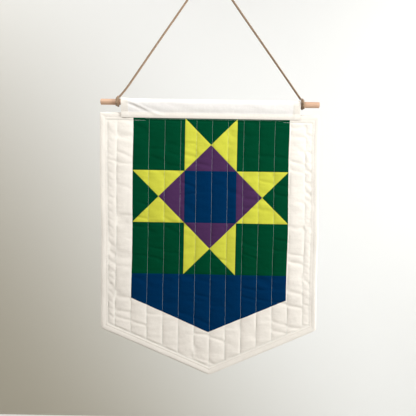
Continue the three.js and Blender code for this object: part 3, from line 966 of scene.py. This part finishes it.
class BANNER_OT_twine(bpy.types.Operator):
    """Makes the jute twine, its loose fibres and the two knots on the dowel"""

    bl_idname = "banner.twine"
    bl_label = "Twine and knots"

    def execute(self, context):
        hanging = context.scene.banner_hanging
        jute = jute_fibre("spun_jute", hanging.jute)
        plies, thick = hanging.ply_count, hanging.twine_diameter
        for i, (side, x, lean) in enumerate(KNOTS):
            line, outward = knot_line(hanging, x, lean)
            bm = plied_cord(line, outward, plies, thick * KNOT_SWELL, KNOT_SEED + i)
            knot = add_piece(side + "_knot", bm, [jute], ["knot_" + side])
        route = [Vector((x * MM, 0, z * MM)) for x, z in TWINE_ROUTE]
        line = catmull_rom(route, TWINE_STEP)
        sideways = [Vector((0, 1, 0))] * len(line)
        bm = plied_cord(line, sideways, plies, thick * HUNG_TWINE_SWELL, TWINE_SEED)
        twine = add_piece("hanging_twine", bm, [jute], ["twine"])
        add_piece("twine_fibres", stray_fibres(line, thick), [jute])
        return {"FINISHED"}


DOWEL_SIDES = 64
DOWEL_RINGS = 60
DOWEL_EDGE_ROUND = 0.6 * MM
DOWEL_INSET_SHARE = 0.4
DOWEL_LIES_ALONG_X = Euler((0, pi / 2, 0))


class BANNER_OT_dowel(bpy.types.Operator):
    """Makes the wooden dowel, with its sawn ends just broken at the rim"""

    bl_idname = "banner.dowel"
    bl_label = "Dowel"

    def execute(self, context):
        hanging = context.scene.banner_hanging
        radius = hanging.dowel_diameter / 2
        bm = bmesh.new()
        place = Matrix.LocRotScale(Vector((CENTRE_X, 0, DOWEL_Z)), DOWEL_LIES_ALONG_X, None)
        bmesh.ops.create_cone(
            bm, cap_ends=True, segments=DOWEL_SIDES, radius1=radius, radius2=radius,
            depth=hanging.dowel_length, matrix=place,
        )
        rims = [edge for face in bm.faces if len(face.verts) > 4 for edge in face.edges]
        bmesh.ops.bevel(
            bm, geom=rims, offset=DOWEL_EDGE_ROUND, offset_type="OFFSET", segments=3,
            profile=0.5, affect="EDGES", material=-1,
        )
        caps = [face for face in bm.faces if len(face.verts) > 4]
        bmesh.ops.inset_individual(bm, faces=caps, thickness=radius * DOWEL_INSET_SHARE)
        long_edges = [edge for edge in bm.edges if edge.calc_length() > hanging.dowel_length / 2]
        bmesh.ops.subdivide_edges(bm, edges=long_edges, cuts=DOWEL_RINGS, use_grid_fill=True)
        birch = sanded_birch("sanded_birch", hanging.wood)
        piece = add_piece("dowel_rod", bm, [birch], ["dowel"])
        for face in piece.data.polygons:
            if abs(face.normal.x) > 0.99:
                face.use_smooth = False
        return {"FINISHED"}


# The sleeve's strip runs from the seam in front of the binding, over the dowel and down again.
SLEEVE_GAP = 0.3 * MM
SLEEVE_LAYERS = 1.0 * MM
SLEEVE_OPEN_ABOVE = 0.8 * MM
# The strip's foot: heights above the seam, and how far back it lies there in front and behind.
SLEEVE_FOOT = [
    (0.1 * MM, 1.7 * MM, 1.1 * MM),
    (1.7 * MM, 1.0 * MM, 0.45 * MM),
    (4.1 * MM, 0.3 * MM, 0.0),
]
SLEEVE_ARC_STEPS = 24
SLEEVE_STEP = 2.4 * MM
SLEEVE_PATH_STEP = 1.2 * MM
HEM_EXTRA = 0.35 * MM
HEM_EDGE = 0.5 * MM
HEM_STITCH_INSET = 1.6 * MM
HEM_THREAD_SHARE = 0.8
SLEEVE_BULGE = 0.6 * MM
SLEEVE_UNEVEN = (0.4, 60 * MM, 60 * MM, 5.5)
SLEEVE_CREASE_TOP = Vector((-129.8, 23.4)) * MM
SLEEVE_CREASE_FOOT = Vector((-84.4, 3.2)) * MM
SLEEVE_CREASE_DEPTH = 1.2 * MM
SLEEVE_CREASE_WIDTH = 6 * MM
SLEEVE_RIDGE = 0.9 * MM
SLEEVE_RIDGE_AWAY = 1.5
SLEEVE_RIDGE_FROM = 1.5 * MM
SLEEVE_RIDGE_OVER = 5 * MM
SLEEVE_FOLDS = (0.7 * MM, 24 * MM, 40 * MM, 8.8)
SLEEVE_FOLD_SLANT = 1.9


def sleeve_path(hanging, quilt):
    """The strip's outer line in Y and Z, from its foot in front to its foot behind."""
    radius = hanging.dowel_diameter / 2 + SLEEVE_GAP + SLEEVE_LAYERS
    opening = TOP_Z + SLEEVE_OPEN_ABOVE
    centre = Vector((0, DOWEL_Z))
    front_foot = Vector((-SLEEVE_LAYERS, opening))
    back_foot = Vector((SLEEVE_LAYERS, opening))
    swing = acos(radius / (front_foot - centre).length)
    start = atan2(front_foot.y - centre.y, front_foot.x) - swing + tau
    end = atan2(back_foot.y - centre.y, back_foot.x) + swing
    foot = [(quilt.ditch_z + above, front, behind) for above, front, behind in SLEEVE_FOOT]
    corners = [Vector((front - SLEEVE_LAYERS, z)) for z, front, _ in foot]
    corners.append(front_foot)
    for i in range(SLEEVE_ARC_STEPS + 1):
        angle = start + (end - start) * i / SLEEVE_ARC_STEPS
        corners.append(centre + radius * Vector((cos(angle), sin(angle))))
    corners.append(back_foot)
    corners += [Vector((SLEEVE_LAYERS + behind, z)) for z, _, behind in reversed(foot)]
    return corners


def along_path(corners, travelled, distance):
    """The point of a path at a distance along it, and the direction square to it."""
    last = len(corners) - 2
    i = min(last, max(0, bisect_left(travelled, distance) - 1))
    side = corners[i + 1] - corners[i]
    share = (distance - travelled[i]) / (travelled[i + 1] - travelled[i])
    return corners[i] + side * share, Vector((-side.y, side.x)).normalized()


def sleeve_wall(quilt, x, z):
    """How far the loose front wall stands out, more and less along it, with one slanting crease."""
    height = (z - TOP_Z) / (DOWEL_Z - TOP_Z)
    loose = sin(pi * min(1.0, max(0.0, height)))
    bulge = SLEEVE_BULGE * (1 + pattern(SLEEVE_UNEVEN, x, z))
    above = z - quilt.ditch_z
    top, foot = SLEEVE_CREASE_TOP, SLEEVE_CREASE_FOOT
    line = top.x + (foot.x - top.x) * (top.y - above) / (top.y - foot.y)
    away = (x - line) / SLEEVE_CREASE_WIDTH
    crease = SLEEVE_CREASE_DEPTH * bell(away)
    ridge = SLEEVE_RIDGE * bell(away - SLEEVE_RIDGE_AWAY)
    above_seam = smooth((above - SLEEVE_RIDGE_FROM) / SLEEVE_RIDGE_OVER)
    folds = pattern(SLEEVE_FOLDS, x + SLEEVE_FOLD_SLANT * z, z)
    return loose * (bulge - crease + folds) + above_seam * ridge


class BANNER_OT_sleeve(bpy.types.Operator):
    """Makes the rod sleeve, a strip of cotton folded over the dowel, with its hem stitching"""

    bl_idname = "banner.sleeve"
    bl_label = "Rod sleeve"

    def execute(self, context):
        settings = context.scene.banner_quilt
        hanging = context.scene.banner_hanging
        quilt = Quilt(settings)
        corners = sleeve_path(hanging, quilt)
        travelled = distances(corners)
        length = travelled[-1]
        left, right = SLEEVE_LOW.x, SLEEVE_HIGH.x
        width = right - left
        hem = hanging.hem_width

        def point(x, distance, proud=0.0):
            place, inward = along_path(corners, travelled, distance)
            in_from_end = min(x - left, right - x)
            out = HEM_EXTRA * smooth((hem - in_from_end) / HEM_EDGE + 0.5) + proud
            if place.x < 0:
                out += sleeve_wall(quilt, x, place.y)
            place = place + inward * out
            return Vector((x, place.x, place.y))

        columns, rows = round(width / SLEEVE_STEP), round(length / SLEEVE_PATH_STEP)
        bm = mapped_grid(
            columns, rows, lambda u, v: point(left + width * u, length * v), (width, length)
        )
        for x in (left + hem, right - hem):
            cut(bm, (x - HEM_EDGE / 2, 0), (1, 0))
            cut(bm, (x + HEM_EDGE / 2, 0), (1, 0))
        bmesh.ops.recalc_face_normals(bm, faces=bm.faces[:])
        bmesh.ops.solidify(bm, geom=bm.faces[:], thickness=hanging.sleeve_cloth)
        # Between the hems and above the quilt's top, the sleeve gets the tinted copy: painted light
        # and shade seen through its single layer.
        for face in bm.faces:
            centre = face.calc_center_median()
            from_end = min(centre.x - left, right - centre.x)
            face.material_index = int(from_end > hem and centre.z > TOP_Z)
        cotton = quilting_cotton("undyed_sleeve_cotton", settings.ground)
        painted_tone_cotton = quilting_cotton("undyed_cotton_single_layer", settings.single_layer)
        sleeve = add_piece("rod_sleeve", bm, [cotton, painted_tone_cotton], ["sleeve"])

        thread = bmesh.new()
        stitch = settings.stitch_length
        thick = settings.thread_diameter * HEM_THREAD_SHARE
        for x in (left + hem - HEM_STITCH_INSET, right - hem + HEM_STITCH_INSET):
            def place(i, proud):
                return point(x, stitch * i, proud)

            sew_row(thread, int(length / stitch), place, thick)
        sewing = cotton_thread("cotton_hem_thread", settings.thread)
        stitches = add_piece("sleeve_stitching", thread, [sewing])
        return {"FINISHED"}


# A batch is kept small, because each new stitch takes longer in a fuller mesh.
STITCHES_AT_ONCE = 12
STITCH_LIFT = 1 * MM
STITCH_PROUD_SHARE = 0.22


def sew_row(whole, count, place, diameter):
    """Sews stitches end to end; place(i, proud) gives their ends on the cloth, or above it."""
    ends = [(place(i, 0.0), place(i, STITCH_LIFT)) for i in range(count + 1)]
    pairs = list(zip(ends, ends[1:]))
    for first in range(0, len(pairs), STITCHES_AT_ONCE):
        batch = bmesh.new()
        for (start, start_up), (end, end_up) in pairs[first:first + STITCHES_AT_ONCE]:
            up = (start_up + end_up - start - end).normalized()
            centre = (start + end) / 2 + up * diameter * STITCH_PROUD_SHARE
            turn = (end - start).to_track_quat("Z", "Y")
            size = Vector((diameter, diameter, (end - start).length)) / 2
            matrix = Matrix.LocRotScale(centre, turn, size)
            bmesh.ops.create_uvsphere(batch, u_segments=6, v_segments=4, radius=1, matrix=matrix)
        absorb(whole, batch)


# Where the cloth is cut on either side of a seam, and in from the binding.
SEAM_CUTS = (-1.1 * MM, 0.0, 1.1 * MM)
SEAM_MARGIN = 1.5 * MM
EDGE_CUTS = (0, EDGE_STITCH_INSET / 2, EDGE_STITCH_INSET)
INNER_CUTS = (5 * MM, 8 * MM)


class BANNER_OT_cloth(bpy.types.Operator):
    """Makes the quilted cloth, with its patchwork in front and its plain backing behind"""

    bl_idname = "banner.cloth"
    bl_label = "Quilted cloth"

    def execute(self, context):
        settings = context.scene.banner_quilt
        quilt = Quilt(settings)
        bm = self.flat_cloth(quilt)
        layer = bm.loops.layers.uv.new("UVMap")
        for face in bm.faces:
            centre = face.calc_center_median()
            face.material_index = quilt.patch_at(centre.x, centre.z)
            for loop in face.loops:
                loop[layer].uv = (loop.vert.co.x, loop.vert.co.z)
        everything = bm.verts[:] + bm.edges[:] + bm.faces[:]
        back_faces = bm.faces[:]
        extruded = bmesh.ops.extrude_face_region(bm, geom=everything, use_keep_orig=True)
        front = {part for part in extruded["geom"] if isinstance(part, bmesh.types.BMVert)}
        for face in back_faces:
            face.material_index = BACKING
        for vert in bm.verts:
            vert.co = quilt.point(vert.co.x, vert.co.z, vert in front)
        bmesh.ops.recalc_face_normals(bm, faces=bm.faces[:])
        materials = [quilting_cotton("undyed_ground_cotton", settings.ground)]
        for name in DYED:
            tone = getattr(settings, name)
            materials.append(quilting_cotton(name + "_dyed_cotton", tone, 0.0, 0.02))
        materials.append(quilting_cotton("undyed_backing_cotton", settings.ground))
        cloth = add_piece("quilted_cloth", bm, materials, ["quilt_body"])
        quilt.area()
        return {"FINISHED"}

    def flat_cloth(self, quilt):
        """The flat sheet in X and Z, cut along every sewn line, seam and edge."""
        left, right = BINDING_LOW.x, BINDING_HIGH.x
        height = quilt.drop
        bm = bmesh.new()
        sheet = Matrix.LocRotScale(
            Vector(((left + right) / 2, 0, TOP_Z - height / 2)),
            UPRIGHT,
            Vector(((right - left) / 2, height / 2, 1)),
        )
        rows = round(height / ROW_STEP)
        bmesh.ops.create_grid(bm, x_segments=1, y_segments=rows, size=1, matrix=sheet)
        trim = quilt.corners(quilt.binding - TUCKED_UNDER_BINDING)
        for i, corner in enumerate(trim):
            cut(bm, corner, -quilt.inward[i], clear=True)
        for top, low in self.columns(quilt):
            side = Vector((low - top, -height)).normalized()
            cut(bm, (top, TOP_Z), (side.y, -side.x))
        for inset in EDGE_CUTS + INNER_CUTS:
            ring = quilt.corners(quilt.binding + inset)
            for i in (0, 2, 3):
                cut(bm, ring[i], quilt.inward[i])
        self.cut_seams(bm, quilt)
        return bm

    def columns(self, quilt):
        """The upright cuts, each as its place at the top and as low down as the tip."""
        edges = [self.sides(quilt, quilt.corners(quilt.binding + inset)) for inset in EDGE_CUTS]
        left, right = edges[-1]
        bounds = [left, *((x, x) for x in quilt.lines), right]
        columns = [side for sides in edges for side in sides]
        for (left_top, left_low), (right_top, right_low) in zip(bounds, bounds[1:]):
            width = right_top - left_top
            steps = max(2, round((width - 2 * LINE_HALF_WIDTH) / COLUMN_STEP))
            near = LINE_HALF_WIDTH / width
            shares = [near + (1 - 2 * near) * i / steps for i in range(steps + 1)]
            for share in [0.0, *shares]:
                top = left_top + (right_top - left_top) * share
                low = left_low + (right_low - left_low) * share
                columns.append((top, low))
        return sorted(set(columns))

    def sides(self, quilt, corners):
        """Where the left and right sides would meet the top edge and the tip's level."""
        found = []
        for upper, lower in ((corners[0], corners[4]), (corners[1], corners[2])):
            lean = (lower.x - upper.x) / (lower.y - upper.y)
            top = upper.x + lean * (TOP_Z - upper.y)
            found.append((top, top - lean * quilt.drop))
        return found

    def cut_seams(self, bm, quilt):
        """Cuts along the patchwork's seams, and a little to either side of each."""
        foot = quilt.panel_foot(STAR_X) - SEAM_MARGIN
        edge = STAR_HALF + SEAM_MARGIN
        left, right = STAR_X - edge, STAR_X + edge

        def within(low_x, high_x, low_z, high_z):
            found = []
            for face in bm.faces:
                centre = face.calc_center_median()
                if low_x < centre.x < high_x and low_z < centre.z < high_z:
                    found.append(face)
            return found

        for i in range(4):
            x = STAR_X - STAR_HALF + i * STAR_CELL
            z = quilt.ditch_z - i * STAR_CELL
            for offset in SEAM_CUTS:
                upright = within(x - SEAM_MARGIN, x + SEAM_MARGIN + COLUMN_STEP, foot, 0)
                cut(bm, (x + offset, 0), (1, 0), upright)
                if i:
                    level = within(left, right, z - ROW_STEP, z + ROW_STEP)
                    cut(bm, (0, z + offset), (0, 1), level)
        reach = Vector((STAR_CELL, STAR_CELL)) / 2
        for centre in quilt.split_cells():
            low, high = centre - reach, centre + reach
            for sign in (-1, 1):
                normal = Vector((1, sign)).normalized()
                for offset in SEAM_CUTS:
                    cell = within(low.x, high.x, low.y, high.y)
                    cut(bm, centre + normal * offset, normal, cell)
        tip = Vector((STAR_X, quilt.panel_foot(STAR_X)))
        top = quilt.panel_foot(left) + 2 * SEAM_MARGIN
        for sign in (-1, 1):
            side = Vector((sign * PANEL_SLOPE, -1)).normalized()
            low, high = (STAR_X, right) if sign > 0 else (left, STAR_X)
            for offset in SEAM_CUTS:
                cut(bm, tip + side * offset, side, within(low, high, foot, top))


# Where the top row of edge stitching was sewn twice over, so that its thread shows more.
BACKSTITCHED = [(-117 * MM, -100 * MM), (122 * MM, 132 * MM)]
BACKSTITCH_DROP = 0.5 * MM
STITCH_END_CLEARANCE = 1.2 * MM
TOP_ROW_DRIFT = 2.3 * MM


class BANNER_OT_thread(bpy.types.Operator):
    """Sews the upright quilting lines and the row round the edge, in front and behind"""

    bl_idname = "banner.thread"
    bl_label = "Quilting thread"

    def execute(self, context):
        settings = context.scene.banner_quilt
        quilt = Quilt(settings)
        sewing = cotton_thread("cotton_quilting_thread", settings.thread)
        for front, name in ((True, "front_stitching"), (False, "back_stitching")):
            whole = bmesh.new()
            for start, end in self.rows(quilt):
                count = max(1, round((end - start).length / settings.stitch_length))

                def place(i, proud):
                    flat = start.lerp(end, i / count)
                    return quilt.point(flat.x, flat.y, front, proud)

                sew_row(whole, count, place, settings.thread_diameter)
            add_piece(name, whole, [sewing])
        return {"FINISHED"}

    def rows(self, quilt):
        """Every sewn row as its two ends on the flat quilt."""
        top = quilt.ditch_z - STITCH_END_CLEARANCE
        rows = []
        for x in quilt.lines:
            foot = quilt.lower_edge(x, quilt.binding) + STITCH_END_CLEARANCE
            rows.append((Vector((x, top)), Vector((x, foot))))
        ring = quilt.corners(quilt.stitched)
        for i in range(1, 5):
            rows.append((ring[i], ring[(i + 1) % 5]))
        high = Vector((0, TOP_ROW_DRIFT))
        turns = [Vector((x, ring[0].y)) for x in (BACKSTITCHED[0][1], BACKSTITCHED[1][0])]
        rows.append((ring[0], turns[0]))
        rows.append((turns[0] + high, turns[1] + high))
        rows.append((turns[1], ring[1]))
        for ends in BACKSTITCHED:
            rows.append([Vector((x, ring[0].y - BACKSTITCH_DROP)) for x in ends])
        return rows


BINDING_STEP = 3.6 * MM
BINDING_AROUND = 26
# The strip's cross-section, from its outer fold to its inner edge.
BINDING_SPREAD = 1.25
BINDING_FOLD_FULLNESS = 2.4
BINDING_FALL = 2.2
BINDING_INNER_SHARE = 0.73
BINDING_UNEVEN = 0.07
BINDING_UNEVEN_RUN = 46 * MM
BINDING_WRINKLE = 0.24 * MM
BINDING_WRINKLE_RUN = Vector((8, 9)) * MM
BINDING_WRINKLE_SLANT = 0.8
BINDING_GROOVE = 0.08 * MM
BINDING_GROOVE_AT = 5.9 * MM
BINDING_GROOVE_WIDTH = 0.8 * MM
CORNER_ROUND = 0.8 * MM
CORNER_REACH = 4 * MM
MITRE_DIP = 0.35 * MM
MITRE_WIDTH = 1.1 * MM


class BANNER_OT_binding(bpy.types.Operator):
    """Makes the binding, one strip folded over the raw edge all round and mitred at the corners"""

    bl_idname = "banner.binding"
    bl_label = "Binding"

    def execute(self, context):
        settings = context.scene.banner_quilt
        quilt = Quilt(settings)
        width = settings.binding_width
        half = settings.binding_thickness / 2
        outer, inner = quilt.corners(0), quilt.corners(width)
        sides = [(outer[(i + 1) % 5] - outer[i]).length for i in range(5)]
        stations = []
        for side, length in enumerate(sides):
            count = round(length / BINDING_STEP)
            stations += [(side, step / count) for step in range(count)]
        stations.append((4, 1.0))

        def section(v):
            """How far in from the outer edge, and the share of the half thickness."""
            inward = abs(2 * v - 1) ** BINDING_SPREAD
            if inward < 0.5:
                return inward, sqrt(1 - (1 - 2 * inward) ** BINDING_FOLD_FULLNESS)
            fall = (1 - BINDING_INNER_SHARE) * (2 * inward - 1) ** BINDING_FALL
            return inward, 1 - fall

        def place(u, v):
            side, along = stations[round(u * (len(stations) - 1))]
            share, full = section(v)
            face = 1 if v > 0.5 else -1
            inset = share * width
            corners = quilt.corners(inset)
            following = (side + 1) % 5
            flat = corners[side].lerp(corners[following], along)
            near = side if along < 0.5 else following
            to_corner = min(along, 1 - along) * sides[side]
            if share < 0.99:
                pull = (inner[near] - corners[near]).normalized()
                flat += pull * CORNER_ROUND * bell(to_corner / CORNER_REACH) * (1 - share)
            travelled = sum(sides[:side]) + along * sides[side]
            slanted = (travelled + BINDING_WRINKLE_SLANT * inset) / BINDING_WRINKLE_RUN.x
            wrinkle = noise.noise(Vector((slanted, inset / BINDING_WRINKLE_RUN.y, 3.1 * face)))
            slow = noise.noise(Vector((travelled / BINDING_UNEVEN_RUN, 0.3, 1.7 * face)))
            thick = half * (1 + BINDING_UNEVEN * slow) + BINDING_WRINKLE * wrinkle * (1 - share)
            thick = full * (thick - MITRE_DIP * bell(to_corner / MITRE_WIDTH))
            thick -= BINDING_GROOVE * bell((inset - BINDING_GROOVE_AT) / BINDING_GROOVE_WIDTH)
            return quilt.lay(flat.x, QUILT_Y + face * max(0.0, thick), flat.y)

        size = (sum(sides), 2 * width)
        bm = mapped_grid(len(stations) - 1, BINDING_AROUND, place, size)
        bmesh.ops.remove_doubles(bm, verts=bm.verts[:], dist=CUT_DISTANCE)
        bmesh.ops.bridge_loops(bm, edges=[edge for edge in bm.edges if edge.is_boundary])
        bmesh.ops.recalc_face_normals(bm, faces=bm.faces[:])
        cotton = quilting_cotton("undyed_binding_cotton", settings.ground)
        add_piece("edge_binding", bm, [cotton], ["binding"])
        return {"FINISHED"}


class BANNER_PT_panel(bpy.types.Panel):
    """Lists the banner's settings and the operators that make its pieces"""

    bl_idname = "BANNER_PT_panel"
    bl_label = "Quilted banner"
    bl_space_type = "VIEW_3D"
    bl_region_type = "UI"
    bl_category = "Banner"

    def draw(self, context):
        for group_name, _ in GROUPS:
            group = getattr(context.scene, group_name)
            column = self.layout.column(align=True)
            for name in group.__annotations__:
                column.prop(group, name)
        for operator in OPERATORS:
            self.layout.operator(operator.bl_idname)


GROUPS = (
    ("banner_stage", BannerStage),
    ("banner_hanging", BannerHanging),
    ("banner_quilt", BannerQuilt),
)
OPERATORS = (
    BANNER_OT_stage,
    BANNER_OT_twine,
    BANNER_OT_dowel,
    BANNER_OT_sleeve,
    BANNER_OT_thread,
    BANNER_OT_binding,
    BANNER_OT_cloth,
)


def register():
    for name, group in GROUPS:
        bpy.utils.register_class(group)
        setattr(bpy.types.Scene, name, PointerProperty(type=group))
    for operator in OPERATORS:
        bpy.utils.register_class(operator)
    bpy.utils.register_class(BANNER_PT_panel)


def unregister():
    bpy.utils.unregister_class(BANNER_PT_panel)
    for operator in reversed(OPERATORS):
        bpy.utils.unregister_class(operator)
    for name, group in reversed(GROUPS):
        delattr(bpy.types.Scene, name)
        bpy.utils.unregister_class(group)


def main():
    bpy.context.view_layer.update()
    register()
    bpy.ops.banner.stage()
    bpy.ops.banner.twine()
    bpy.ops.banner.dowel()
    bpy.ops.banner.sleeve()
    bpy.ops.banner.thread()
    bpy.ops.banner.binding()
    bpy.ops.banner.cloth()


if __name__ == "__main__":
    main()
